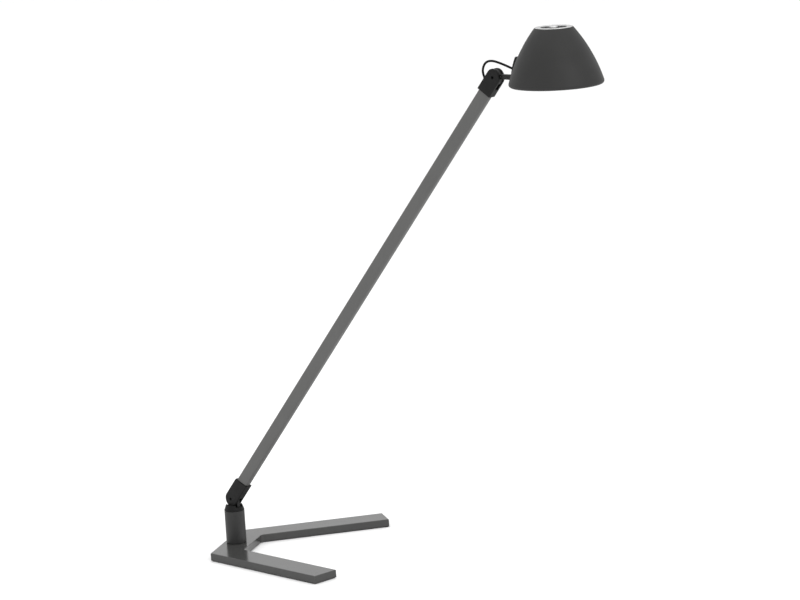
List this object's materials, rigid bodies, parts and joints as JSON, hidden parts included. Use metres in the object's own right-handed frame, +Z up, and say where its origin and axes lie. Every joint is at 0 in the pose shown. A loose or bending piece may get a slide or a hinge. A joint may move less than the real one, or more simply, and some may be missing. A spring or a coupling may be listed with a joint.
{
  "type": "architect desk lamp",
  "caption": "Desk lamp with a flat V-shaped steel base, a short swivel post, one long slim arm between friction hinges and a bell-shaped metal shade on a black bracket.",
  "frame": {"origin": "on the post's axis, in the plane the lamp stands on", "axes": "+Z up along the post; +X is the middle line between the legs, out of the V's open side; +Y towards the left leg"},
  "size_m": [0.575, 0.4923, 0.6747],
  "materials": {
    "base_paint": "satin",
    "post_paint": "matte",
    "pad_rubber": "matte",
    "black_rubber": "matte",
    "zinc_steel": "satin",
    "stem_steel": "satin",
    "bush_plastic": "matte",
    "black_plastic": "matte",
    "black_screw": "satin",
    "arm_paint": "satin",
    "lead_sheath": "matte",
    "shade_paint": "matte",
    "bright_ring": "polished",
    "sink_aluminium": "satin",
    "board_white": "matte",
    "led_yellow": "satin",
    "opal_plastic": "matte",
    "reflector_white": "matte"
  },
  "bodies": {
    "base": {"base_plate": "base_paint", "base_pad": "pad_rubber", "inlet_grommet": "black_rubber", "post": "post_paint", "thread_tube": "zinc_steel", "base_nut": "zinc_steel", "base_washer": "zinc_steel", "post_bush": "bush_plastic"},
    "swivel": {"swivel_spindle": "stem_steel", "spindle_circlip": "zinc_steel", "spindle_spring_washer": "zinc_steel", "swivel_cap": "black_plastic"},
    "arm": {"lower_knuckle": "black_plastic", "lower_hinge_screw": "black_screw", "lower_hinge_nut": "zinc_steel", "lower_friction_washers": "bush_plastic", "arm_tube": "arm_paint", "arm_fixing_screws": "black_screw", "arm_lead": "lead_sheath", "upper_knuckle": "black_plastic", "upper_hinge_screw": "black_screw", "upper_hinge_nut": "zinc_steel", "upper_friction_washers": "bush_plastic", "loop_exit_grommet": "black_rubber", "lead_loop": "lead_sheath"},
    "head": {"loop_entry_grommet": "black_rubber", "head_stem": "stem_steel", "stem_pin": "black_screw", "shade_bracket": "black_plastic", "bracket_screws": "zinc_steel", "shade": "shade_paint", "top_ring": "bright_ring", "top_stud": "bright_ring", "heat_sink": "sink_aluminium", "module_screws": "zinc_steel", "led_board": "board_white", "led_chips": "led_yellow", "diffuser": "opal_plastic", "reflector": "reflector_white"}
  },
  "joints": [
    {"name": "base_swivel", "type": "hinge", "parent": "base", "child": "swivel", "pos_m": [0, 0, 0.0514], "axis": [0, 0, 1], "range_deg": [-120, 180]},
    {"name": "arm_tilt", "type": "hinge", "parent": "swivel", "child": "arm", "pos_m": [0, 0, 0.0663], "axis": [0.5, 0.866, 0], "range_deg": [-40, 30]},
    {"name": "head_tilt", "type": "hinge", "parent": "arm", "child": "head", "pos_m": [0.42625, -0.2461, 0.61486], "axis": [0.5, 0.866, 0], "range_deg": [-50, 55], "deforming": ["lead_loop"]}
  ]
}
